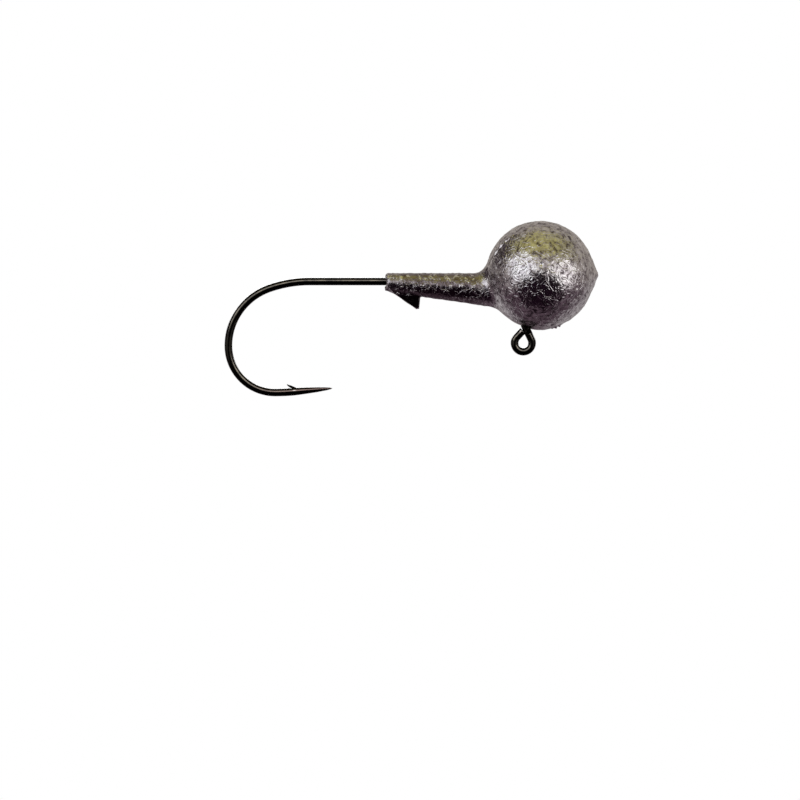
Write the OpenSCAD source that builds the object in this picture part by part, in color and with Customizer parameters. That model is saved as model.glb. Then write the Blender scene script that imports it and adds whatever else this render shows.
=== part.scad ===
// Round jig head: a barbed jig hook with a lead head cast round it.
// Units are millimetres. The hook lies in the XZ plane. The origin is the centre of the line eye,
// +X runs along the shank to the bend, and +Z is up as the jig hangs from its line.

/* [Wire and line eye] */
// Diameter of the hook wire
wire_d = 1.2; // [0.95:0.05:1.3]
// Width of the hole through the line eye
eye_hole_d = 1.5; // [1.4:0.05:2.2]
// How far the stem stands towards the nose from the middle of the eye
stem_offset = 0.55; // [0.4:0.05:0.7]
// Angle at which the wire leaves the stem to go round the eye
eye_kink_deg = 25; // [22:1:30]
// Angle through which the wire turns round the eye
eye_turn_deg = 248; // [240:1:250]
// Straight end of the wire after the eye
eye_tail_l = 1.0; // [0.6:0.05:1.0]

/* [Hook] */
// Drop from the middle of the eye to the middle of the shank
eye_height = 9.5; // [8.5:0.05:11]
// Shank length, from the stem to the start of the bend
shank_l = 33.6; // [29:0.1:45]
// Radius of the right-angle turn from the stem into the shank
stem_bend_r = 1.6; // [1.2:0.1:2.5]
// Radius of the gentle entry to the bend
entry_r = 18.5; // [12:0.5:30]
// Radius at the back of the bend
back_r = 9.4; // [7:0.1:12]
// Radius from the back of the bend round to the point side
front_r = 7.2; // [5.5:0.1:9]
// Radius of the last sweep that brings the point in
sweep_r = 34; // [20:1:60]
// Length of the tapered needle point
point_l = 5.9; // [4:0.1:8]
// How far the barb's tip stands off the wire
barb_rise = 0.6; // [0.3:0.05:0.9]
// Length of the barb from root to tip
barb_l = 1.05; // [0.8:0.05:1.6]

/* [Lead head] */
// Diameter of the ball
ball_d = 16.8; // [14:0.2:18]
// How far the middle of the ball lies ahead of the eye
ball_ahead = 2.6; // [2:0.05:3.2]
// How far the middle of the ball lies below the shank
ball_below = 1; // [0.6:0.05:1.4]
// Radius of the fillet between the ball and the collar
neck_fillet_r = 2.4; // [1.2:0.1:3]
// Diameter of the casting gate's stub where it leaves the nose
gate_d = 4.4; // [3:0.1:5]
// Diameter of the stub where it was cut off
gate_cut_d = 1.3; // [0.8:0.1:2]
// How far the cut-off stub stands proud of the nose
gate_proud = 0.6; // [0.3:0.05:0.8]
// Width of the parting ridge round the ball
ridge_w = 0.2; // [0.15:0.05:0.4]
// How far the parting ridge stands proud of the ball
ridge_proud = 0.06; // [0.04:0.01:0.12]

/* [Collar and bait keeper] */
// Distance from the middle of the ball to the rear face of the collar
collar_reach = 23.85; // [20:0.05:28]
// How far the middle of the collar's rear face lies above the middle of the shank
collar_lift = 0.15; // [0:0.05:0.2]
// Diameter of the collar at its rear face
collar_rear_d = 2.85; // [2.4:0.05:3.2]
// Diameter of the collar where it reaches the ball
collar_front_d = 4.75; // [3.8:0.05:5.2]
// Bevel round the collar's rear edge
collar_bevel = 0.3; // [0.1:0.05:0.4]
// Length of the bait keeper along the collar
keeper_l = 4.9; // [3:0.1:6]
// How far the keeper's tip stands off the collar
keeper_rise = 2; // [1.2:0.1:2.6]
// Thickness of the keeper at its root
keeper_t = 1.4; // [0.9:0.1:1.8]
// Thickness of the keeper at its tip
keeper_tip_t = 0.7; // [0.4:0.1:0.9]

/* [Fit] */
// Gap all round the wire where the lead is cast against it
cast_gap = 0.02; // [0.01:0.01:0.05]

/* [Hidden] */
$fn = 96;

WIRE_R = wire_d / 2;
EYE_R = (eye_hole_d + wire_d) / 2;          // middle of the wire round the eye
KINK_R = 0.8;                               // bend between the stem and the eye
BALL_R = ball_d / 2;
SHANK_Z = -eye_height;
BALL_X = -ball_ahead;
BALL_Z = SHANK_Z - ball_below;
COLLAR_X = BALL_X + collar_reach;           // rear face of the collar
COLLAR_Z = SHANK_Z + collar_lift;

// The straight piece between the kink and the eye, and the height at which the kink starts
EYE_LEAD = (EYE_R * cos(eye_kink_deg) - stem_offset - KINK_R * (1 - cos(eye_kink_deg))) / sin(eye_kink_deg);
KINK_Z = -(EYE_R + KINK_R) * sin(eye_kink_deg) - EYE_LEAD * cos(eye_kink_deg);

// A wire's way is a list of [radius, amount]. Radius 0 runs straight for that many millimetres,
// a positive radius turns left through that many degrees, and a negative one turns right.
EYE_WAY = [[KINK_R, eye_kink_deg], [0, EYE_LEAD], [-EYE_R, eye_turn_deg], [0, eye_tail_l]];
STEM_WAY = [[0, KINK_Z - SHANK_Z - stem_bend_r], [stem_bend_r, 90], [0, shank_l - stem_bend_r]];
BEND_WAY = [[entry_r, 20], [back_r, 70], [front_r, 90], [sweep_r, 5]];

// The needle point's outline, as [share of its length, share of the wire's radius]
NEEDLE = [[0, 1], [0.3, 0.84], [0.6, 0.56], [0.85, 0.26], [1, 0.06]];
BARB_W = 0.55 * wire_d;                     // width of the sliver that the barb is cut from
BARB_ROOT = 0.35;                           // the barb grows out of the needle this far past its start
BARB_CUT_IN = 0.75;                         // how deep in the wire it ends, as a share of the wire's radius
BARB_HEEL = 0.45;                           // where its underside meets the wire, as a share of its length

// The collar widens only on its upper side, so its axis tips by its own half angle
COLLAR_SPAN = collar_reach - BALL_R - neck_fillet_r;
COLLAR_DEG = atan((collar_front_d - collar_rear_d) / 2 / COLLAR_SPAN);
COLLAR_L = collar_reach - BALL_R / 2;       // it runs on into the ball
NECK_TUCK = 0.3;                            // the hollow curve starts this far inside the collar
NECK_R = collar_front_d / 2 - NECK_TUCK;
NECK_RISE = ball_below + collar_lift + COLLAR_SPAN * tan(COLLAR_DEG);
NECK_DEG = atan(NECK_RISE / (BALL_R + neck_fillet_r));
FILLET_BITE = 0.02;                         // the hollow curve runs this far into the ball
GATE_BITE = 0.1;                            // the gate's stub starts this far inside the ball
KEEPER_BLUNT = 0.5;                         // flat on the keeper's tip
KEEPER_UNDERCUT = 0.2;                      // lean of the keeper's front face
KEEPER_HEEL = 0.6;                          // its front face starts this far down inside the collar

// Each stretch of wire starts a lap inside the one before it, and every other one is a hair
// thinner, so that no two of their surfaces coincide
LAP = 0.1;
HAIR = 0.01;

// Where each turned surface starts, so that no two seams cross
COLLAR_SEAM = 50;
NECK_SEAM = 110;

module straight_wire(length, radius) {
    translate([-LAP, 0, 0])
        rotate([0, 90, 0])
            cylinder(h = length + LAP, r = radius);
}

module bent_wire(bend, degrees, radius) {
    lap_deg = LAP / bend * 180 / PI;
    translate([0, bend, 0])
        rotate(-90 - lap_deg)
            rotate_extrude(angle = degrees + lap_deg)
                translate([bend, 0])
                    circle(radius);
}

// Draws the wire along its way, and puts the children at its far end
module wire_along(way, full_r, thin = false, step = 0) {
    radius = thin ? full_r - HAIR : full_r;
    if (step == len(way)) {
        children();
    } else {
        bend = abs(way[step][0]);
        side = sign(way[step][0]);
        amount = way[step][1];
        if (bend == 0) {
            straight_wire(amount, radius);
            translate([amount, 0, 0])
                wire_along(way, full_r, !thin, step + 1)
                    children();
        } else {
            mirror([0, side < 0 ? 1 : 0, 0])
                bent_wire(bend, amount, radius);
            translate([bend * sin(amount), side * bend * (1 - cos(amount)), 0])
                rotate(side * amount)
                    wire_along(way, full_r, !thin, step + 1)
                        children();
        }
    }
}

// Starts a way at the top of the stem, in the plane of the hook
module from_stem(heading) {
    translate([-stem_offset, 0, KINK_Z])
        rotate([90, 0, 0])
            rotate(heading)
                children();
}

module needle_point() {
    radius = WIRE_R - HAIR;
    outline = [for (p = NEEDLE) [p[1] * radius, p[0] * point_l]];
    rotate([0, 90, 0])
        rotate_extrude()
            polygon(concat([[0, -LAP], [radius, -LAP]], outline, [[0, point_l]]));
}

// A sliver cut up from the inner side of the wire, with its tip towards the bend
module barb() {
    translate([0, 0, -BARB_W / 2])
        linear_extrude(BARB_W)
            polygon([
                [BARB_ROOT, 0],
                [BARB_ROOT, WIRE_R * BARB_CUT_IN],
                [-barb_l, WIRE_R + barb_rise],
                [-barb_l * BARB_HEEL, WIRE_R * BARB_CUT_IN]
            ]);
}

module hook() {
    color([0.10, 0.08, 0.08]) {
        from_stem(-90)
            wire_along(concat(STEM_WAY, BEND_WAY), WIRE_R) {
                needle_point();
                barb();
            }
        from_stem(90)
            wire_along(EYE_WAY, WIRE_R, thin = true);
    }
}

// The ball and the hollow curve that runs from it into the collar, turned as one about a line
// out of the ball's middle
module ball_and_neck() {
    reach = BALL_R + neck_fillet_r - FILLET_BITE;
    side = NECK_R + neck_fillet_r;
    along = sqrt(reach * reach - side * side);
    share = (BALL_R - FILLET_BITE) / reach;
    translate([BALL_X, 0, BALL_Z])
        rotate([0, 90 - NECK_DEG, 0])
            rotate(NECK_SEAM)
                rotate_extrude()
                    difference() {
                        union() {
                            intersection() {
                                circle(BALL_R);
                                translate([0, -ball_d])
                                    square([ball_d, 2 * ball_d]);
                            }
                            polygon([[0, BALL_R / 2], [side * share, along * share], [side, along], [0, along]]);
                        }
                        translate([side, along])
                            circle(neck_fillet_r);
                    }
}

// The thin ridge that the two halves of the mould leave round the ball
module parting_ridge() {
    translate([BALL_X, 0, BALL_Z])
        rotate([90, 0, 0])
            cylinder(h = ridge_w, r = BALL_R + ridge_proud, center = true);
}

// The stub on the nose where the casting was cut from its gate
module gate_stub() {
    root = sqrt(BALL_R * BALL_R - gate_d * gate_d / 4) - GATE_BITE;
    translate([BALL_X, 0, BALL_Z])
        rotate([0, -90, 0])
            translate([0, 0, root])
                cylinder(h = BALL_R + gate_proud - root, d1 = gate_d, d2 = gate_cut_d);
}

module collar() {
    rear_r = collar_rear_d / 2;
    front_r = rear_r + COLLAR_L * tan(COLLAR_DEG);
    outline = [[0, 0], [rear_r - collar_bevel, 0], [rear_r, collar_bevel], [front_r, COLLAR_L], [0, COLLAR_L]];
    translate([COLLAR_X, 0, COLLAR_Z])
        rotate([0, COLLAR_DEG - 90, 0])
            rotate(COLLAR_SEAM)
                rotate_extrude()
                    polygon(outline);
}

// A flat-sided wedge on the collar's upper side that holds a soft bait
module bait_keeper() {
    rear = COLLAR_X - collar_bevel;
    front = rear - keeper_l;
    top = COLLAR_Z + collar_rear_d / 2 + 2 * keeper_l * tan(COLLAR_DEG);
    tip = top + keeper_rise;
    intersection() {
        rotate([90, 0, 0])
            linear_extrude(keeper_t, center = true)
                polygon([
                    [rear, SHANK_Z],
                    [rear, COLLAR_Z + collar_rear_d / 2 - collar_bevel],
                    [front + KEEPER_BLUNT, tip],
                    [front, tip],
                    [front - KEEPER_UNDERCUT, top - KEEPER_HEEL],
                    [front - KEEPER_UNDERCUT, SHANK_Z]
                ]);
        rotate([90, 0, 90])
            linear_extrude(COLLAR_X)
                polygon([
                    [-keeper_t / 2, SHANK_Z],
                    [keeper_t / 2, SHANK_Z],
                    [keeper_t / 2, top],
                    [keeper_tip_t / 2, tip],
                    [-keeper_tip_t / 2, tip],
                    [-keeper_t / 2, top]
                ]);
    }
}

// The way through the lead that the hook leaves
module wire_channel() {
    from_stem(-90)
        wire_along(STEM_WAY, WIRE_R + cast_gap);
}

module lead_casting() {
    color([0.50, 0.47, 0.50])
        difference() {
            union() {
                ball_and_neck();
                parting_ridge();
                gate_stub();
                collar();
                bait_keeper();
            }
            wire_channel();
        }
}

hook();
lead_casting();
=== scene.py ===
# %% [markdown]
# # A round jig head
# A jig head is two things that never come apart: a barbed hook bent from one length of wire, and a lead
# casting poured round it. The measured model is loaded first, as a frame that isn't touched. Each piece
# is then made again at the same size and in the same place, with the surface that the real thing has.

# %% Load the frame
import bpy
import bmesh
import math
import numpy as np
from mathutils import Matrix, Vector


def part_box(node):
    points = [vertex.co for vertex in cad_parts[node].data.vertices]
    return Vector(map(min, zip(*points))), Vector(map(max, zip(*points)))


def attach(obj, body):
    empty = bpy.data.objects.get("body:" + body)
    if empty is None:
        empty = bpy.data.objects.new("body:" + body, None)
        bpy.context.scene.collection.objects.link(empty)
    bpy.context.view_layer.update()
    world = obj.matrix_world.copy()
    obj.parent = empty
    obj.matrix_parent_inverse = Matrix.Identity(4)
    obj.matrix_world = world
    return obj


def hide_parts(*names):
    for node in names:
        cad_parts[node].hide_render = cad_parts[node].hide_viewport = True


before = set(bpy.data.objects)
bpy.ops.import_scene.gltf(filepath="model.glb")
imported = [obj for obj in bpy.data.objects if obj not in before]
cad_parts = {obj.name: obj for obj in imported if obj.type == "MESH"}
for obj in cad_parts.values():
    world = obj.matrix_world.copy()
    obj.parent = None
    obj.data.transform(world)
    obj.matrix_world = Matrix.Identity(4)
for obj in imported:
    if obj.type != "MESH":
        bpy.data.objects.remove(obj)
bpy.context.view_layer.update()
MM = 0.001
_, HOOK_HIGH = (np.array(corner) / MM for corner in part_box("hook"))
LEAD_LOW, LEAD_HIGH = (np.array(corner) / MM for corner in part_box("lead_casting"))

# %% [markdown]
# Every size below is in millimetres, with the middle of the line eye at zero. X runs along the shank and
# Z is up. Sizes that can be read off the frame's own boxes are taken from there, so that both models agree.

# %% Sizes of the head
WIRE_R = 0.6
STEM_X = -0.55
SHANK_Z = -9.5
RIDGE = 0.06
BALL_R = (LEAD_HIGH[1] - LEAD_LOW[1]) / 2
BALL = np.array([-2.6, 0.0, SHANK_Z - 1.0])
REAR_X = BALL[0] + 23.85
COLLAR_Z = SHANK_Z + 0.15
REAR_R, FRONT_R = 1.425, 2.375
COLLAR_RUN = 13.05
NOSE_PROUD = 0.6
print("ball radius", round(BALL_R, 3), "rear of the collar at", round(REAR_X, 2))

# %% [markdown]
# ## Nodes as sums
# A shader or a geometry tree is mostly arithmetic, which is hard to read as a list of nodes. The class
# below holds one output of a node. Adding or multiplying two of them puts the Math node in for us, and its
# `node` method makes every other kind of node, with the settings first and the sockets after.

# %% A value in a node tree
class Flow:
    """One output in a node tree. Arithmetic on it adds Math nodes."""

    def __init__(self, tree, output=None):
        self.tree, self.output = tree, output

    def node(self, kind, settings=None, sockets=None, output=0):
        made = self.tree.nodes.new(kind)
        for name, value in (settings or {}).items():
            setattr(made, name, value)
        for key, value in (sockets or {}).items():
            if isinstance(value, Flow):
                self.tree.links.new(value.output, made.inputs[key])
            else:
                made.inputs[key].default_value = value
        return Flow(self.tree, made.outputs[output])

    def math(self, operation, *values):
        return self.node("ShaderNodeMath", {"operation": operation}, dict(enumerate(values)))

    def __add__(self, other):
        return self.math("ADD", self, other)

    def __sub__(self, other):
        return self.math("SUBTRACT", self, other)

    def __rsub__(self, other):
        return self.math("SUBTRACT", other, self)

    def __mul__(self, other):
        return self.math("MULTIPLY", self, other)

    __radd__, __rmul__ = __add__, __mul__

    def between(self, low, high, smooth=True):
        """0 below low and 1 above high."""
        kind = "SMOOTHSTEP" if smooth else "LINEAR"
        return self.node("ShaderNodeMapRange", {"interpolation_type": kind}, {0: self, 1: low, 2: high})

    def mix(self, first, second):
        """The first colour where this value is 0 and the second where it is 1."""
        first, second = (c if isinstance(c, Flow) else (*c, 1.0) for c in (first, second))
        return self.node("ShaderNodeMix", {"data_type": "RGBA"}, {0: self, 6: first, 7: second}, output=2)


def noise(where, scale, detail=2.0, roughness=0.5, distortion=0.0):
    """Blender's cloudy noise at so many lumps a millimetre."""
    return where.node(
        "ShaderNodeTexNoise",
        {},
        {"Vector": where, "Scale": scale, "Detail": detail, "Roughness": roughness, "Distortion": distortion},
    )


def new_material(name):
    """An empty material, its tree as a Flow, and its Principled shader."""
    material = bpy.data.materials.new(name)
    material.use_nodes = True
    shader = material.node_tree.nodes["Principled BSDF"]
    return material, Flow(material.node_tree), shader


# %% [markdown]
# Four more chores come up again and again: putting an object in the scene, taking the mesh that its
# modifiers make, and reading or writing the places of all a mesh's points at once.

# %% Helpers for objects and meshes
def new_object(name, data):
    """An object that holds the data, linked into the scene."""
    made = bpy.data.objects.new(name, data)
    bpy.context.collection.objects.link(made)
    return made


def finished_mesh(thing):
    """A plain mesh of an object, as its modifiers leave it."""
    bpy.context.view_layer.update()
    evaluated = thing.evaluated_get(bpy.context.evaluated_depsgraph_get())
    return bpy.data.meshes.new_from_object(evaluated)


def read_places(mesh):
    """The places of a mesh's points, one row for each."""
    flat = np.empty(len(mesh.vertices) * 3)
    mesh.vertices.foreach_get("co", flat)
    return flat.reshape(-1, 3)


def write_places(mesh, places):
    mesh.vertices.foreach_set("co", places.ravel())
    mesh.update()


# %% [markdown]
# ## The wire's way
# The hook is one length of wire, bent on pegs: straight runs and round arcs that follow each other. Each
# bend is written as a radius and an angle, with radius 0 for a straight run. A function walks along that
# list and leaves a point every tenth of a millimetre, and those points are all that the wire needs.

# %% Walk along the bends
EYE_R = 1.35
KINK_R, KINK_DEG, EYE_DEG, EYE_TAIL = 0.8, 25.0, 248.0, 1.35
STEM_BEND_R, SHANK_L, POINT_L = 1.6, 33.6, 5.9
kink = math.radians(KINK_DEG)
EYE_LEAD = (EYE_R * math.cos(kink) + STEM_X - KINK_R * (1 - math.cos(kink))) / math.sin(kink)
KINK_Z = -(EYE_R + KINK_R) * math.sin(kink) - EYE_LEAD * math.cos(kink)
EYE_WAY = [(KINK_R, KINK_DEG), (0, EYE_LEAD), (-EYE_R, EYE_DEG), (0, EYE_TAIL)]
HOOK_WAY = [
    (0, KINK_Z - SHANK_Z - STEM_BEND_R),
    (STEM_BEND_R, 90),
    (0, SHANK_L - STEM_BEND_R),
    (18.5, 20),
    (9.4, 70),
    (7.2, 90),
    (34, 5),
]


def walk(way, heading, spacing=0.1):
    """Points in the XZ plane along a way that starts at the top of the stem, and the last heading."""
    place, points = np.array([STEM_X, KINK_Z]), [np.array([STEM_X, KINK_Z])]
    for radius, amount in way:
        length = amount if radius == 0 else abs(radius) * math.radians(amount)
        steps = max(1, round(length / spacing))
        turn = 0.0 if radius == 0 else math.copysign(math.radians(amount), radius)
        for _ in range(steps):
            middle = heading + turn / steps / 2
            chord = length / steps if turn == 0 else 2 * abs(radius) * math.sin(abs(turn) / steps / 2)
            place = place + chord * np.array([math.cos(middle), math.sin(middle)])
            heading += turn / steps
            points.append(place)
    return points, heading


eye_points, _ = walk(EYE_WAY, math.radians(90))
hook_points, point_heading = walk(HOOK_WAY, math.radians(-90))
print(len(eye_points), "points round the eye and", len(hook_points), "along the hook")

# %% [markdown]
# The needle point is ground, so the wire only gets thinner there, in a slightly full curve. The other end
# was cut off square by a shear, which leaves a tiny round on the edge. Both are written as a thickness
# for each point of the way.

# %% The point, the cut end and the wire's thickness
NEEDLE = [(0, 1.0), (0.15, 0.94), (0.3, 0.86), (0.6, 0.67), (0.85, 0.41), (0.96, 0.22), (1, 0.05)]
CUT_ROUND, CUT_NARROWING = 0.07, 0.16
NEEDLE_STEPS = 56
needle_start = hook_points[-1]
needle_way = np.array([math.cos(point_heading), math.sin(point_heading)])
needle_points = [needle_start + needle_way * POINT_L * i / NEEDLE_STEPS for i in range(1, NEEDLE_STEPS + 1)]
way_points = np.array(eye_points[:0:-1] + hook_points + needle_points)
along = np.concatenate([[0], np.cumsum(np.linalg.norm(np.diff(way_points, axis=0), axis=1))])
to_point = along[-1] - along
girth = WIRE_R * np.interp(1 - to_point / POINT_L, *zip(*NEEDLE))
cut = np.clip(along / CUT_ROUND, 0, 1)
girth *= 1 - CUT_NARROWING * (1 - np.sqrt(1 - (1 - cut) ** 2))
print("wire length", round(along[-1], 1), "mm")

# %% [markdown]
# ## The drawn wire
# A round wire is a circle carried along a line, which is what the Curve to Mesh node does. The tree takes
# the line, the number of sides and the material, reads the thickness that each point carries, and closes
# both ends. Changing a bend in the list above then changes the finished wire with no other work.

# %% A tree that draws a wire along a line
def tree_with(name, sockets):
    """A geometry tree with the named inputs, as a Flow, and its input and output nodes."""
    tree = bpy.data.node_groups.new(name, "GeometryNodeTree")
    tree.interface.new_socket("Geometry", in_out="INPUT", socket_type="NodeSocketGeometry")
    for label, kind, value in sockets:
        made = tree.interface.new_socket(label, in_out="INPUT", socket_type=kind)
        if value is not None:
            made.default_value = value
    tree.interface.new_socket("Geometry", in_out="OUTPUT", socket_type="NodeSocketGeometry")
    start = tree.nodes.new("NodeGroupInput")
    end = tree.nodes.new("NodeGroupOutput")
    return tree, {s.name: Flow(tree, s) for s in start.outputs if s.name}, end


def finish_tree(flow, geometry, material, end):
    """Realize Instances and Set Material, then the tree's output."""
    real = flow.node("GeometryNodeRealizeInstances", {}, {"Geometry": geometry})
    done = flow.node("GeometryNodeSetMaterial", {}, {"Geometry": real, "Material": material})
    flow.tree.links.new(done.output, end.inputs["Geometry"])


def run_tree(source, tree, values, name):
    """The tree's result on a source object, as a plain mesh object of that name."""
    modifier = source.modifiers.new(tree.name, "NODES")
    modifier.node_group = tree
    for item in tree.interface.items_tree:
        if item.item_type == "SOCKET" and item.in_out == "INPUT" and item.name in values:
            modifier[item.identifier] = values[item.name]
    mesh = finished_mesh(source)
    mesh.name = name
    made = new_object(name, mesh)
    bpy.data.objects.remove(source)
    return made


wire_tree, given, wire_end = tree_with(
    "drawn_wire", [("Sides", "NodeSocketInt", 40), ("Material", "NodeSocketMaterial", None)]
)
line = given["Geometry"]
thickness = line.node("GeometryNodeInputNamedAttribute", {"data_type": "FLOAT"}, {"Name": "girth"})
curve = line.node("GeometryNodeMeshToCurve", {}, {"Mesh": line})
curve = line.node("GeometryNodeSetCurveRadius", {}, {"Curve": curve, "Radius": thickness})
ring = line.node(
    "GeometryNodeCurvePrimitiveCircle", {"mode": "RADIUS"}, {"Resolution": given["Sides"], "Radius": 1.0}
)
swept = line.node(
    "GeometryNodeCurveToMesh",
    {},
    {"Curve": curve, "Profile Curve": ring, "Scale": thickness, "Fill Caps": True},
)
smooth = line.node("GeometryNodeSetShadeSmooth", {}, {"Geometry": swept, "Shade Smooth": True})
finish_tree(line, smooth, given["Material"], wire_end)

# %% [markdown]
# ## Black nickel
# Hook wire is plated with black nickel: almost black, with a brown tinge where the layer is thin, and a
# tight bright line where it faces the light. It is a metal with a very dark colour and low roughness.
# The ground point shows most brown, so the material reads how far each place is from the tip.

# %% The hook's finish
PLATE_DARK, PLATE_LIGHT = (0.006, 0.0055, 0.005), (0.014, 0.0125, 0.010)
PLATE_BROWN, PLATE_WORN = (0.0150, 0.0105, 0.0095), (0.018, 0.016, 0.0145)
BARE_STEEL = (0.060, 0.056, 0.054)
BROWN_NEAR, BROWN_FAR = 3.0, 16.0  # distances from the tip, in mm
nickel, flow, shader = new_material("black_nickel")
place = flow.node("ShaderNodeTexCoord", output="Object")
mm = flow.node("ShaderNodeVectorMath", {"operation": "SCALE"}, {0: place, "Scale": 1 / MM})
to_tip = flow.node("ShaderNodeAttribute", {"attribute_name": "to_point"}, output="Fac")
bare = flow.node("ShaderNodeAttribute", {"attribute_name": "bare"}, output="Fac")
clouds = noise(mm, 0.9, 3.0, 0.6)
rub = noise(mm, 7.0, 4.0, 0.65)
black = clouds.between(0.35, 0.7).mix(PLATE_DARK, PLATE_LIGHT)
brown = (1 - to_tip.between(BROWN_NEAR, BROWN_FAR)) * (0.55 + clouds * 0.5)
plated = brown.mix(black, PLATE_BROWN)
worn = rub.between(0.66, 0.74) * 0.35
plated = worn.mix(plated, PLATE_WORN)
colour = bare.mix(plated, BARE_STEEL)
height = rub * 0.6 + noise(mm, 2.2, 2.0) * 0.4
bump = flow.node("ShaderNodeBump", {}, {"Strength": 0.12, "Distance": 0.008 * MM, "Height": height})
shader.inputs["Metallic"].default_value = 1.0
for key, value in (("Base Color", colour), ("Roughness", 0.09 + rub * 0.12), ("Normal", bump)):
    flow.tree.links.new(value.output, shader.inputs[key])
print("black nickel has", len(flow.tree.nodes), "nodes")

# %% [markdown]
# The list of points becomes a mesh with edges and no faces, and each point carries its thickness and its
# distance from the tip. The sweep hands both on to the skin of the wire, where the finish can read them.

# %% Draw the hook
def store_numbers(mesh, name, values):
    """Writes one number at each of a mesh's points."""
    mesh.attributes.new(name, "FLOAT", "POINT").data.foreach_set("value", values.astype(np.float32))


def wire_line(name, numbers):
    """The wire's way as an object that is only a line, with numbers at its points."""
    mesh = bpy.data.meshes.new(name)
    places = [(x, 0.0, z) for x, z in way_points]
    mesh.from_pydata(places, [(i, i + 1) for i in range(len(places) - 1)], [])
    for label, values in numbers.items():
        store_numbers(mesh, label, values)
    return new_object(name, mesh)


source = wire_line("hook_line", {"girth": girth, "to_point": to_point})
hook = run_tree(source, wire_tree, {"Sides": 40, "Material": nickel}, "barbed_hook")
print("hook:", len(hook.data.vertices), "points")

# %% [markdown]
# The wire's end is bent round until it lies against the stem, and the shear's cut takes the stem's shape
# there. The points of that end which would lie inside the stem are slid back along the tail.

# %% Rest the cut end on the stem
TOUCH = 0.012
NEAR_CUT, TAIL_POINTS = 1.15, 14
SLIDES, LONGEST_SLIDE = 40, 0.1
tail_way = way_points[0] - way_points[4]
tail_way /= np.linalg.norm(tail_way)
lead_start = np.array([STEM_X - KINK_R * (1 - math.cos(kink)), KINK_Z + KINK_R * math.sin(kink)])
lead_way = np.array([-math.sin(kink), math.cos(kink)])
places = read_places(hook.data)
tail = np.linalg.norm(places[:, [0, 2]] - way_points[0], axis=1) < NEAR_CUT
tail &= (places[:, [0, 2]] - way_points[TAIL_POINTS]) @ tail_way > 0
for _ in range(SLIDES):
    side = (places[:, [0, 2]] - lead_start) @ np.array([lead_way[1], -lead_way[0]])
    depth = WIRE_R + TOUCH - np.hypot(side, places[:, 1])
    slide = np.where(tail, np.clip(depth, 0, LONGEST_SLIDE), 0)
    places[:, [0, 2]] -= tail_way * slide[:, None]
write_places(hook.data, places)
print("points of the tail:", int(tail.sum()))

# %% [markdown]
# ## The barb
# A barb isn't added to a hook. A chisel pushes a sliver of the wire up from the inner side, and leaves
# its root joined on the point side and a bright nick beneath it. So the nick is cut out of the wire
# first, and then the sliver is joined on. Both are small closed wedges, drawn in the wire's own plane.

# %% Cut the nick and raise the barb
BARB_RISE = 0.6
SLIVER = [(0.50, -0.10), (0.08, 0.12), (-0.42, 0.39), (-1.02, BARB_RISE + 0.03), (-1.05, BARB_RISE - 0.07),
          (-0.72, 0.16), (-0.42, -0.04), (-0.06, -0.30), (0.35, -0.38)]
SLIVER_HALF = [0.36, 0.35, 0.32, 0.20, 0.20, 0.30, 0.35, 0.36, 0.36]
NICK = [(-0.80, 0.30), (-0.74, -0.01), (-0.10, -0.19), (0.02, -0.15), (-0.10, 0.30)]
NICK_HALF = [0.8] * len(NICK)


def close_rows(bm, rows):
    """Faces over two matching rows of corners, and round between them."""
    bm.faces.new(rows[0])
    bm.faces.new(rows[1][::-1])
    for i in range(len(rows[0])):
        j = (i + 1) % len(rows[0])
        bm.faces.new((rows[0][j], rows[0][i], rows[1][i], rows[1][j]))
    bmesh.ops.recalc_face_normals(bm, faces=bm.faces)


def wedge(name, outline, half_widths, origin, direction):
    """A closed wedge from an outline of (along the wire, out from its surface) points."""
    inward = np.array([-direction[1], direction[0]])
    bm = bmesh.new()
    rows = []
    for side in (-1, 1):
        row = []
        for (s, h), half in zip(outline, half_widths):
            x, z = origin + direction * s + inward * (WIRE_R + h)
            row.append(bm.verts.new((x, side * half, z)))
        rows.append(row)
    close_rows(bm, rows)
    mesh = bpy.data.meshes.new(name)
    bm.to_mesh(mesh)
    bm.free()
    return new_object(name, mesh)


def carve(target, tool, operation):
    """Joins a tool to the target or cuts it out, and then removes the tool."""
    modifier = target.modifiers.new("carve", "BOOLEAN")
    modifier.operation, modifier.object, modifier.solver = operation, tool, "EXACT"
    mesh = finished_mesh(target)
    target.modifiers.remove(modifier)
    old, target.data = target.data, mesh
    mesh.name = old.name
    bpy.data.meshes.remove(old)
    bpy.data.objects.remove(tool)


carve(hook, wedge("nick", NICK, NICK_HALF, needle_start, needle_way), "DIFFERENCE")
carve(hook, wedge("sliver", SLIVER, SLIVER_HALF, needle_start, needle_way), "UNION")
print("hook with its barb:", len(hook.data.vertices), "points")

# %% [markdown]
# The plating is worn through in the nick under the barb, and thin on the cut end of the eye. A number at
# each point says how bare it is, and the material mixes in brighter steel there.

# %% Mark the bare steel
NICK_RUN, NICK_RISE = (0.05, 0.36), (-0.34, 0.16)  # middle and half size of the bare patch
CUT_REACH, CUT_BARE = 0.62, 0.25
places = read_places(hook.data)[:, [0, 2]]
inward = np.array([-needle_way[1], needle_way[0]])
run, rise = (places - needle_start) @ needle_way, (places - needle_start) @ inward - WIRE_R
from_nick = np.hypot((run - NICK_RUN[0]) / NICK_RUN[1], (rise - NICK_RISE[0]) / NICK_RISE[1])
from_cut = np.linalg.norm(places - way_points[0], axis=1) / CUT_REACH
bare = np.maximum(np.clip(1.5 - 1.5 * from_nick, 0, 1), np.clip(4 - 4 * from_cut, 0, CUT_BARE))
store_numbers(hook.data, "bare", bare)
print("bare points:", int((bare > 0.1).sum()))

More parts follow.
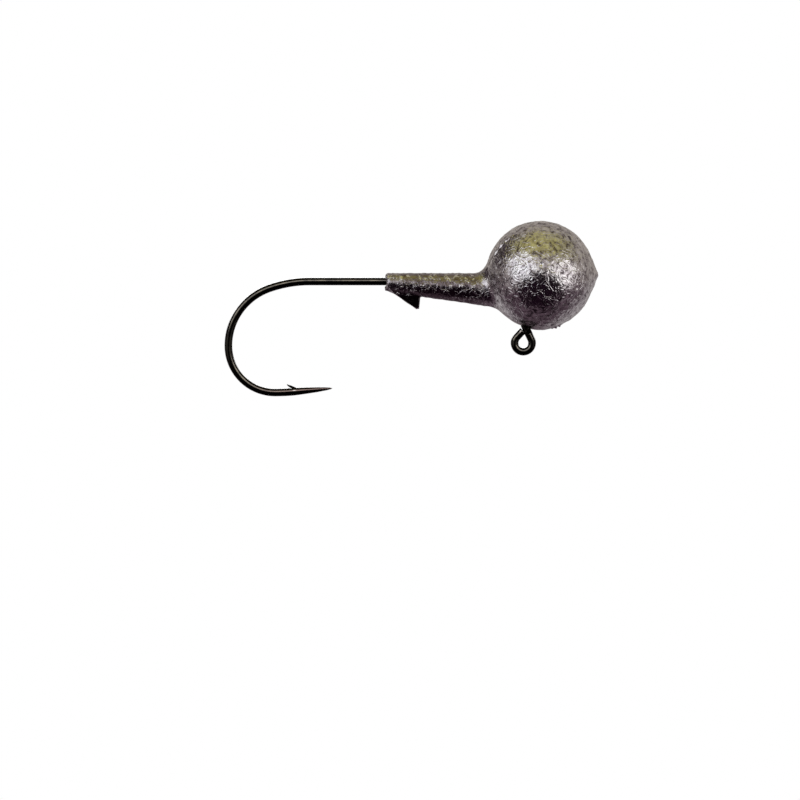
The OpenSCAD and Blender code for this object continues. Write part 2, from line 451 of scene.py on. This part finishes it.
# %% [markdown]
# ## The shape of the lead
# Lead runs into every corner of its mould and shrinks back as it sets, so no edge is sharp and each form
# melts into the next. That is easiest to describe as a distance: a formula says how far any place is from
# the surface, and two forms are joined by a soft minimum, which fills the corner between them.

# %% Soft joins and the head's forms
def soft_min(a, b, k):
    """The smaller of two distances, with the corner between them filled to about k."""
    h = np.clip(0.5 + 0.5 * (b - a) / k, 0, 1)
    return b + (a - b) * h - k * h * (1 - h)


def soft_max(a, b, k):
    return -soft_min(-a, -b, k)


def outline_distance(p, corners):
    """Signed distance in the XZ plane to a polygon, negative inside."""
    x, z = p[:, 0], p[:, 2]
    best, inside = np.full(len(p), 1e9), np.zeros(len(p), bool)
    for (ax, az), (bx, bz) in zip(corners, corners[1:] + corners[:1]):
        ex, ez = bx - ax, bz - az
        t = np.clip(((x - ax) * ex + (z - az) * ez) / (ex * ex + ez * ez), 0, 1)
        best = np.minimum(best, np.hypot(x - ax - t * ex, z - az - t * ez))
        if az != bz:
            crosses = (az > z) != (bz > z)
            inside ^= crosses & (x < ex * (z - az) / ez + ax)
    return np.where(inside, -best, best)


COLLAR_TILT = math.atan((FRONT_R - REAR_R) / COLLAR_RUN)
KEEPER_L, KEEPER_RISE, KEEPER_UNDERCUT, KEEPER_BLUNT = 4.9, 2.0, 0.2, 0.5
KEEPER_TOP = COLLAR_Z + REAR_R + 2 * KEEPER_L * math.tan(COLLAR_TILT)
KEEPER = [
    (REAR_X - 0.25, SHANK_Z),
    (REAR_X - 0.25, COLLAR_Z + REAR_R - 0.35),
    (REAR_X - 0.3 - KEEPER_L + KEEPER_BLUNT, KEEPER_TOP + KEEPER_RISE),
    (REAR_X - 0.3 - KEEPER_L, KEEPER_TOP + KEEPER_RISE),
    (REAR_X - 0.3 - KEEPER_L - KEEPER_UNDERCUT, KEEPER_TOP - 0.6),
    (REAR_X - 0.3 - KEEPER_L - KEEPER_UNDERCUT, SHANK_Z),
]


def collar_distance(p):
    run = (REAR_X - p[:, 0]) * math.cos(COLLAR_TILT) + (p[:, 2] - COLLAR_Z) * -math.sin(COLLAR_TILT)
    lift = (p[:, 2] - COLLAR_Z) * math.cos(COLLAR_TILT) + (REAR_X - p[:, 0]) * -math.sin(COLLAR_TILT)
    radial = np.hypot(lift, p[:, 1]) - REAR_R - run * math.tan(COLLAR_TILT)
    return soft_max(soft_max(radial, -run, 0.7), run - COLLAR_RUN - BALL_R, 0.35)


def keeper_distance(p):
    half = np.interp(p[:, 2], [KEEPER_TOP, KEEPER_TOP + KEEPER_RISE], [0.70, 0.35])
    return soft_max(outline_distance(p, KEEPER) + 0.08, np.abs(p[:, 1]) - half, 0.3) - 0.05


def nose_distance(p):
    run = BALL[0] - p[:, 0]
    radial = np.hypot(p[:, 1], p[:, 2] - BALL[2])
    cone = (radial - np.interp(run, [BALL_R - 0.3, BALL_R + NOSE_PROUD], [2.1, 0.22])) * 0.55
    return soft_max(soft_max(cone, run - BALL_R - NOSE_PROUD, 0.07), BALL_R / 2 - run, 0.25)


def lump_distance(p):
    """The flattened lump beside the stem, where the mould's two halves had worn."""
    q = (p - np.array([STEM_X - 2.0, 0.1, BALL[2] + BALL_R - 0.35])) / np.array([1.7, 1.1, 0.42])
    return (np.linalg.norm(q, axis=1) - 1) * 0.42


def burr_distance(p):
    """The drop of lead that squeezed out beside the wire, at the collar's back rim."""
    return np.linalg.norm(p - np.array([REAR_X - 0.05, -0.35, COLLAR_Z + REAR_R - 0.45]), axis=1) - 0.36


def lead_distance(p):
    ball = np.linalg.norm(p - BALL, axis=1) - BALL_R + RIDGE
    below = np.clip((COLLAR_Z + 2.0 - p[:, 2]) / 4.0, 0, 1)
    d = soft_min(ball, collar_distance(p), 0.75 + 1.6 * below)
    d = soft_min(d, nose_distance(p), 0.55)
    d = soft_min(d, lump_distance(p), 0.35)
    d = soft_min(d, burr_distance(p), 0.25)
    return soft_min(d, keeper_distance(p), 0.3)


# %% [markdown]
# ## Wrap a skin round the shape
# The formula needs a mesh to work on. Rough solids are put where the forms are, a voxel remesh turns them
# into one closed skin of even small squares, and each of its points is then moved along the formula's
# slope until its distance is zero.

# %% Remesh and settle the skin
VOXEL = 0.135
SETTLE_STEPS = 8
NUDGE = 0.01


def rough_solids():
    bm = bmesh.new()
    bmesh.ops.create_icosphere(bm, subdivisions=5, radius=BALL_R, matrix=Matrix.Translation(BALL))
    middle = Vector(((REAR_X + BALL[0]) / 2, 0, COLLAR_Z - 0.3))
    turn = Matrix.Rotation(-math.pi / 2, 4, "Y")
    bmesh.ops.create_cone(
        bm, cap_ends=True, segments=48, radius1=REAR_R, radius2=FRONT_R + 0.6, depth=REAR_X - BALL[0],
        matrix=Matrix.Translation(middle) @ turn,
    )
    bmesh.ops.create_cone(
        bm, cap_ends=True, segments=48, radius1=4.0, radius2=0.6, depth=4.0,
        matrix=Matrix.Translation((BALL[0] - BALL_R - NOSE_PROUD + 2.0, 0, BALL[2])) @ turn,
    )
    close_rows(bm, [[bm.verts.new((x, y, z)) for x, z in KEEPER] for y in (-0.55, 0.55)])
    mesh = bpy.data.meshes.new("rough_head")
    bm.to_mesh(mesh)
    bm.free()
    return mesh


def growth(p, distance):
    """A distance at some points, and how much it grows by a nudge along X, Y and Z."""
    here = distance(p)
    return here, np.stack([distance(p + NUDGE * axis) - here for axis in np.eye(3)], axis=1)


def settle(p, distance, steps):
    """Moves points along the slope of a distance until they lie on its zero surface."""
    for _ in range(steps):
        here, slope = growth(p, distance)
        slope = slope / NUDGE
        size = np.maximum((slope ** 2).sum(axis=1), 0.2)
        p = p - 0.9 * slope * (here / size)[:, None]
    return p


skin = new_object("rough_head", rough_solids())
remesh = skin.modifiers.new("voxels", "REMESH")
remesh.mode, remesh.voxel_size = "VOXEL", VOXEL
mesh = finished_mesh(skin)
bpy.data.objects.remove(skin)
points = settle(read_places(mesh), lead_distance, SETTLE_STEPS)
print("skin:", len(points), "points, worst distance", round(float(np.abs(lead_distance(points)).max()), 4))

# %% [markdown]
# ## What the mould left
# A worn mould leaves a thin ragged ridge where its halves meet, all round in the plane of the hook. The
# ridge and the marks after it are small pushes along the surface's own direction, so they are added up as
# heights and applied together.

# %% The parting ridge
RAGGED_STEPS, RIDGE_HALF = 420, 0.16
COLLAR_FROM, COLLAR_STEP, BALL_STEP = 5.5, 0.33, 0.045
rng = np.random.default_rng(24)
_, normals = growth(points, lead_distance)
normals /= np.linalg.norm(normals, axis=1)[:, None]
heights = np.zeros(len(points))
from_ball = points - BALL
angle = np.arctan2(from_ball[:, 2], from_ball[:, 0])
ragged = rng.uniform(-0.9, 1.0, RAGGED_STEPS)
along_collar = points[:, 0] / COLLAR_STEP + 200 * (points[:, 2] > COLLAR_Z)
along_ridge = np.where(points[:, 0] > COLLAR_FROM, along_collar, (angle + 4) / BALL_STEP)
wander = np.interp(along_ridge % (RAGGED_STEPS - 1), np.arange(RAGGED_STEPS), ragged)
off_plane = points[:, 1] + 0.05 * np.sin(9 * angle)
heights += RIDGE * wander * np.exp(-(off_plane / RIDGE_HALF) ** 2)
print("ridge:", int((np.abs(off_plane) < RIDGE_HALF).sum()), "points")

# %% [markdown]
# One seam on the ball has been pulled up, with a furrow beside it, and a flash of lead has torn off the
# parting line in front of the eye. Each is a height that fades with the distance from a short line.

# %% The pulled seam and the torn flash
SEAM_FROM, SEAM_TO = np.array([0.86, -0.36, -0.36]), np.array([0.52, -0.47, -0.71])
SEAM_HALF, SEAM_LIFT, FURROW_SHIFT, FURROW_LIFT = 0.16, 0.20, 0.05, -0.13
for shift, lift in ((0.0, SEAM_LIFT), (FURROW_SHIFT, FURROW_LIFT)):
    a, b = SEAM_FROM + [0, -shift, 0], SEAM_TO + [0, -shift, 0]
    a, b = a * BALL_R / np.linalg.norm(a), b * BALL_R / np.linalg.norm(b)
    t = np.clip(((from_ball - a) @ (b - a)) / ((b - a) @ (b - a)), 0, 1)
    arc = a + t[:, None] * (b - a)
    arc *= (BALL_R / np.linalg.norm(arc, axis=1))[:, None]
    gap = np.linalg.norm(from_ball - arc, axis=1)
    heights += lift * np.exp(-(gap / SEAM_HALF) ** 2) * (0.75 + 0.25 * np.sin(t * 19))

FLASH_X, FLASH_LONG, FLASH_HIGH, FLASH_THIN = -5.2, 0.95, 0.38, 0.20
from_flash = (points[:, 0] - FLASH_X) / FLASH_LONG
torn = np.clip(1 - from_flash ** 2, 0, 1) * (0.7 + 0.3 * np.sin(points[:, 0] * 11)) * (points[:, 2] > BALL[2])
heights += FLASH_HIGH * torn * np.exp(-(points[:, 1] / FLASH_THIN) ** 2)
print("flash:", int((torn > 0).sum()), "points within its length")

# %% [markdown]
# Trapped air leaves pits. Each is a place, a radius and a depth. The draw is seeded, so that they fall in
# the same places every time.

# %% The pits
BALL_PITS, COLLAR_PITS, PIT_RING = 46, 26, 2.0
pits = [(np.array([0.013, -0.98, -0.165]) * BALL_R + BALL, 0.22, 0.16)]
for _ in range(BALL_PITS):
    way = rng.normal(size=3)
    spot = BALL + way / np.linalg.norm(way) * BALL_R
    pits.append((spot, rng.uniform(0.12, 0.30), rng.uniform(0.03, 0.10)))
for _ in range(COLLAR_PITS):
    turn_to = rng.uniform(0, 2 * math.pi)
    ring_y, ring_z = PIT_RING * math.cos(turn_to), PIT_RING * math.sin(turn_to)
    spot = np.array([rng.uniform(7, REAR_X), ring_y, COLLAR_Z + ring_z])
    pits.append((spot, rng.uniform(0.15, 0.4), rng.uniform(0.03, 0.09)))
for spot, radius, depth in pits:
    gap2 = ((points - spot) ** 2).sum(axis=1)
    heights -= depth * np.exp(-gap2 / radius ** 2)
points = points + normals * heights[:, None]
write_places(mesh, points)
source = new_object("lead_skin", mesh)
print(len(pits), "pits")

# %% [markdown]
# ## The cast grain
# Lead freezes against a cold mould in wrinkles and small dimples. The grain follows the whole surface by
# one rule, so a geometry tree makes it: two noises push each point in or out, and the tree writes down
# how low each place lies, so that the finish can make those places darker.

# %% A tree that roughens a casting
grain_tree, given, grain_end = tree_with(
    "cast_grain",
    [
        ("Dent size", "NodeSocketFloat", 2.6),
        ("Dent depth", "NodeSocketFloat", 0.12),
        ("Grain size", "NodeSocketFloat", 0.6),
        ("Grain depth", "NodeSocketFloat", 0.018),
        ("Seed", "NodeSocketFloat", 3.0),
        ("Material", "NodeSocketMaterial", None),
    ],
)
body = given["Geometry"]
where = body.node("GeometryNodeInputPosition")
facing = body.node("GeometryNodeInputNormal")


def grain_noise(size, detail, offset):
    """Noise whose lumps are about that size, from -0.5 to 0.5."""
    sockets = {"Vector": where, "W": given["Seed"] + offset, "Scale": body.math("DIVIDE", 1.0, size),
               "Detail": detail, "Roughness": 0.55}
    return body.node("ShaderNodeTexNoise", {"noise_dimensions": "4D"}, sockets) - 0.5


dents = grain_noise(given["Dent size"], 1.0, 0.0)
grain = grain_noise(given["Grain size"], 1.0, 7.0)
push = dents * given["Dent depth"] + grain * given["Grain depth"]
shift = body.node("ShaderNodeVectorMath", {"operation": "SCALE"}, {0: facing, "Scale": push})
moved = body.node("GeometryNodeSetPosition", {}, {"Geometry": body, "Offset": shift})
low = grain * -1.6 + dents * -0.6 + 0.5
kept = body.node(
    "GeometryNodeStoreNamedAttribute",
    {"data_type": "FLOAT", "domain": "POINT"},
    {"Geometry": moved, "Name": "low", "Value": low},
)
smooth = body.node("GeometryNodeSetShadeSmooth", {}, {"Geometry": kept, "Shade Smooth": True})
finish_tree(body, smooth, given["Material"], grain_end)

# %% [markdown]
# ## Cast lead
# Fresh lead is bright, but it dulls to a mauve grey within days, and the high spots rub bright again. The
# finish is a metal whose colour wanders between the two. The collar is purple black, and the keeper is
# painted nearly black, as painted shade for the dark that its sides mirror. The noises and the thin crooked
# lines come first, and are shared by the colour, the roughness and the bump.

# %% The casting's patterns
lead, flow, shader = new_material("cast_lead")
place = flow.node("ShaderNodeTexCoord", output="Object")
mm = flow.node("ShaderNodeVectorMath", {"operation": "SCALE"}, {0: place, "Scale": 1 / MM})
low = flow.node("ShaderNodeAttribute", {"attribute_name": "low"}, output="Fac")
clouds = noise(mm, 0.35, 3.0, 0.6)
mottle = noise(mm, 1.3, 3.0, 0.6, 0.4)
wave = noise(mm, 0.9, 1.0)
grain = noise(mm, 2.3, 1.0, 0.5, 1.0)


def wrinkles(scale, width):
    """Thin crooked lines where a stretched noise crosses its middle."""
    cloth = noise(mm, scale, 1.0, 0.5, 1.2)
    from_middle = cloth.math("ABSOLUTE", cloth - 0.5)
    return 1 - from_middle.between(0.0, width)


broad, narrow = wrinkles(0.8, 0.09), wrinkles(1.7, 0.11)
print("patterns of the lead:", len(flow.tree.nodes), "nodes")

# %% [markdown]
# Each part of the casting is found by its place along X and up Z, with soft borders. The dark collar has
# raised flecks on it that are also painted bright, as painted glints, and the keeper's tip has a painted
# glint.

# %% The casting's parts
run = flow.node("ShaderNodeSeparateXYZ", {}, {0: mm}, output="X")
across = flow.node("ShaderNodeSeparateXYZ", {}, {0: mm}, output="Z")
on_collar, at_rear = run.between(4.6, 8.0), run.between(REAR_X - 2.6, REAR_X - 1.2)
# The part of the keeper that gets painted shade, all but its lighter end by the rear.
keeper_shade_mask = across.between(KEEPER_TOP - 0.4, KEEPER_TOP + 0.2) * run.between(15.0, 16.0)
keeper_shade_mask = keeper_shade_mask * (1 - run.between(REAR_X - 2.4, REAR_X - 1.2))
# The keeper's tip, where a glint is painted.
keeper_glint = across.between(KEEPER_TOP + KEEPER_RISE - 0.35, KEEPER_TOP + KEEPER_RISE - 0.15)
glint_flecks = noise(mm, 1.15, 2.0, 0.6, 0.5).between(0.56, 0.61) * on_collar * (1 - keeper_shade_mask)
print("with its parts:", len(flow.tree.nodes), "nodes")

# %% [markdown]
# The colour is darker in the low places and along the crooked lines. The same lines in the bump break each
# reflection into short bright squiggles, which is how cast lead tells itself from steel.

# %% The casting's colour, roughness and bump
LEAD_DARK, LEAD_LIGHT, LEAD_MAUVE = (0.53, 0.500, 0.515), (0.63, 0.605, 0.615), (0.47, 0.432, 0.452)
# The fleck colour is a painted glint, used on the collar's flecks and on the keeper's tip.
LEAD_RUBBED, FLECK_GLINT = (0.76, 0.75, 0.755), (0.80, 0.78, 0.79)
LOW_LINE_DARK, COLLAR_PURPLE = (0.10, 0.080, 0.090), (0.13, 0.100, 0.112)
# The keeper's near black on this line is painted shade.
REAR_PURPLE, KEEPER_PAINTED_SHADE = (0.20, 0.170, 0.180), (0.060, 0.048, 0.054)
BUMP_DEPTH = 0.05
dull = clouds.between(0.35, 0.65).mix(LEAD_DARK, LEAD_LIGHT)
dull = mottle.between(0.42, 0.62).mix(dull, LEAD_MAUVE)
bright = (mottle.between(0.50, 0.34) * 0.5).mix(dull, LEAD_RUBBED)
# Darker in the low places and along the crooked lines.
low_and_lines = low.between(0.55, 0.80) * 0.25 + (broad + narrow) * mottle.between(0.48, 0.62) * 0.75
colour = low_and_lines.between(0.0, 1.0, smooth=False).mix(bright, LOW_LINE_DARK)
colour = (on_collar * (1 - at_rear) * (0.50 + mottle * 0.5)).mix(colour, COLLAR_PURPLE)
colour = (at_rear * (0.25 + mottle * 0.6)).mix(colour, REAR_PURPLE)
# Painted highlights: the raised flecks are also painted bright, as glints.
colour = (glint_flecks * 0.6).mix(colour, FLECK_GLINT)
# Painted shade: the keeper is painted nearly black, for the dark that its sides mirror.
colour = keeper_shade_mask.mix(colour, KEEPER_PAINTED_SHADE)
# Painted highlight: a glint painted on the keeper's tip.
colour = (keeper_glint * keeper_shade_mask * 0.7).mix(colour, FLECK_GLINT)
rough = 0.10 + mottle * 0.12 + low_and_lines * 0.12 + at_rear * 0.06
height = broad * 0.62 + narrow * 0.16 + wave * 0.9 + grain * 0.16 + glint_flecks * (0.9 + at_rear * 0.6)
height = height * (1 - keeper_shade_mask * 0.8)
bump = flow.node("ShaderNodeBump", {}, {"Strength": 1.0, "Distance": BUMP_DEPTH * MM, "Height": height})
shader.inputs["Metallic"].default_value = 1.0
for key, value in (("Base Color", colour), ("Roughness", rough), ("Normal", bump)):
    flow.tree.links.new(value.output, shader.inputs[key])
print("cast lead has", len(flow.tree.nodes), "nodes")

# %% [markdown]
# The wire was in the mould before the lead, so the casting has a way through it in the shape of the wire.
# The same line of points is swept once more, a hair thicker, and cut out of the lead.

# %% Roughen the casting and cut the wire's way
CAST_GAP = 0.02
casting = run_tree(source, grain_tree, {"Material": lead}, "lead_head")
source = wire_line("channel_line", {"girth": girth + CAST_GAP})
carve(casting, run_tree(source, wire_tree, {"Sides": 32, "Material": lead}, "channel"), "DIFFERENCE")
triangles = sum(len(face.vertices) - 2 for face in casting.data.polygons)
print("casting:", len(casting.data.vertices), "points,", triangles, "triangles")

# %% [markdown]
# ## Put both pieces in the frame
# The work so far was in millimetres. The meshes themselves are scaled to metres, so that both objects sit
# at the origin with no turn and no scale, as the frame's own nodes do. Each stands for its measured node.

# %% Scale to metres and attach
for piece, node, slot in ((hook, "hook", "black_nickel"), (casting, "lead_casting", "cast_lead")):
    piece.data.transform(Matrix.Scale(MM, 4))
    piece.data.update()
    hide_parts(node)
    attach(piece, "root")
    print(piece.name, [round(v / MM, 2) for v in piece.dimensions])

# %% [markdown]
# ## Light and floor
# Metal shows its surroundings more than its own colour, so half of a metal's finish is the studio. White
# cards stand left and right of the camera, joined by a duller band, with the dark of the camera between
# them. Olive cards lie under the jig, and two grey ones stand behind. The camera itself sees only plain
# white behind the jig.

# %% The studio
world = bpy.data.worlds.new("studio")
bpy.context.scene.world = world
world.use_nodes = True
world.node_tree.nodes.clear()
sky = Flow(world.node_tree)
towards = sky.node("ShaderNodeTexCoord", output="Generated")


def card(direction, inner, outer):
    """1 within inner degrees of a direction, falling softly to 0 at outer degrees."""
    sockets = {0: towards, 1: Vector(direction).normalized()}
    dot = sky.node("ShaderNodeVectorMath", {"operation": "DOT_PRODUCT"}, sockets, output="Value")
    return dot.between(math.cos(math.radians(outer)), math.cos(math.radians(inner)))


upward = sky.node("ShaderNodeSeparateXYZ", {}, {0: towards}, output="Z")
colour = upward.between(-0.25, 0.45).mix((0.48, 0.44, 0.40), (0.125, 0.085, 0.108))
CAMERA_DARK = (0, -0.77, 0.64)
LEFT_LAMP, RIGHT_LAMP = (0.665, -0.707, -0.24), (-0.79, -0.61, 0.0)
OLIVE, SIDE_OLIVE = (0.58, 0.54, 0.22), (0.42, 0.395, 0.19)
band = card(CAMERA_DARK, 58, 82) * (1 - card(CAMERA_DARK, 26, 52)) * (1 - upward.between(0.0, 0.55))
for mask, shade in (
    (card((0.80, 0.30, -0.50), 14, 36), (0.06, 0.045, 0.055)),  # a dark corner beyond the hook's bend
    (card((0.45, -0.22, -0.87), 12, 34), SIDE_OLIVE),
    (card((-0.55, -0.20, -0.81), 14, 36), SIDE_OLIVE),
    (card((0, -0.33, -0.95), 20, 42), OLIVE),
    (band, (0.85, 0.81, 0.78)),
    (card(LEFT_LAMP, 12, 36), (1.65, 1.70, 1.75)),
    (card(RIGHT_LAMP, 12, 32), (1.75, 1.72, 1.70)),
    (card((-0.5, 0.75, 0.43), 8, 34) * 0.6, (0.70, 0.68, 0.68)),
    (card((0.6, 0.72, 0.3), 8, 34) * 0.6, (0.80, 0.78, 0.78)),
    (card(CAMERA_DARK, 41, 52), (0.012, 0.004, 0.010)),
):
    colour = mask.mix(colour, shade)
lit = sky.node("ShaderNodeBackground", {}, {"Color": colour, "Strength": 1.0})
plain = sky.node("ShaderNodeBackground", {}, {"Color": (1, 1, 1, 1), "Strength": 1.0})
seen = sky.node("ShaderNodeLightPath", output="Is Camera Ray")
both = sky.node("ShaderNodeMixShader", {}, {0: seen, 1: lit, 2: plain})
end = sky.tree.nodes.new("ShaderNodeOutputWorld")
sky.tree.links.new(both.output, end.inputs["Surface"])

# %% [markdown]
# Plated wire is a much better mirror than lead, and it needs small bright lamps to draw its thin lines of
# light. One long strip hangs low in front and a weaker one low behind. They are linked to the hook alone,
# so that they leave no hot spots on the casting.

# %% Strip lamps for the wire
STRIP_AIM, STRIP_FAR = Vector((20.0, 0, -4.0)), 300.0  # in mm
STRIP_LONG, STRIP_WIDE = 0.70, 0.15  # in metres, as lamps are sized
STRIPS = (("front_strip", (0.05, -0.87, -0.49), 7.5), ("back_strip", (-0.05, 0.87, -0.49), 2.5))
only_hook = bpy.data.collections.new("only_hook")
only_hook.objects.link(hook)
for name, direction, watts in STRIPS:
    light = bpy.data.lights.new(name, "AREA")
    light.shape, light.size, light.size_y = "RECTANGLE", STRIP_LONG, STRIP_WIDE
    light.energy = watts
    strip = new_object(name, light)
    unit = Vector(direction).normalized()
    turn = unit.to_track_quat("Z", "Y").to_matrix().to_4x4()
    strip.matrix_world = Matrix.Translation((STRIP_AIM + unit * STRIP_FAR) * MM) @ turn
    strip.light_linking.receiver_collection = only_hook
    print(name, watts, "W")

# %% [markdown]
# The object hangs clear of a plain pale floor, which stands well below it so that it is seen but not
# mirrored in the metal.

# %% The floor
FLOOR_DROP, FLOOR_SIZE = 52.0, 150.0
bm = bmesh.new()
bmesh.ops.create_circle(bm, cap_ends=True, segments=96, radius=FLOOR_SIZE * MM)
floor_mesh = bpy.data.meshes.new("floor")
bm.to_mesh(floor_mesh)
bm.free()
middle_x = (HOOK_HIGH[0] + LEAD_LOW[0]) / 2
floor_mesh.transform(Matrix.Translation((middle_x * MM, 0, (LEAD_LOW[2] - FLOOR_DROP) * MM)))
floor = new_object("floor", floor_mesh)
pale, _, shader = new_material("pale_card")
shader.inputs["Base Color"].default_value = (0.9, 0.9, 0.9, 1)
shader.inputs["Roughness"].default_value = 0.9
shader.inputs["Emission Color"].default_value = (1, 1, 1, 1)
shader.inputs["Emission Strength"].default_value = 0.8
floor.data.materials.append(pale)
floor.visible_glossy = False

# %% [markdown]
# ## The camera
# A long lens looks straight across the hook's plane, so nothing is foreshortened. The jig is shown lying
# on its back, with its eye at the bottom of the frame, so the camera is rolled half a turn.

# %% Set the camera
DISTANCE, VIEW_HALF, SENSOR = 600.0, 61.8, 36.0
VIEW_X, VIEW_Z = 19.05, 8.82
camera_data = bpy.data.cameras.new("camera")
camera_data.sensor_width = SENSOR
camera_data.lens = SENSOR / 2 * DISTANCE / VIEW_HALF
camera = new_object("camera", camera_data)
columns = Matrix(((-1, 0, 0), (0, 0, -1), (0, -1, 0))).transposed().to_4x4()
camera.matrix_world = Matrix.Translation(Vector((VIEW_X, -DISTANCE, VIEW_Z)) * MM) @ columns
bpy.context.scene.camera = camera
bpy.context.scene.view_settings.view_transform = "Standard"
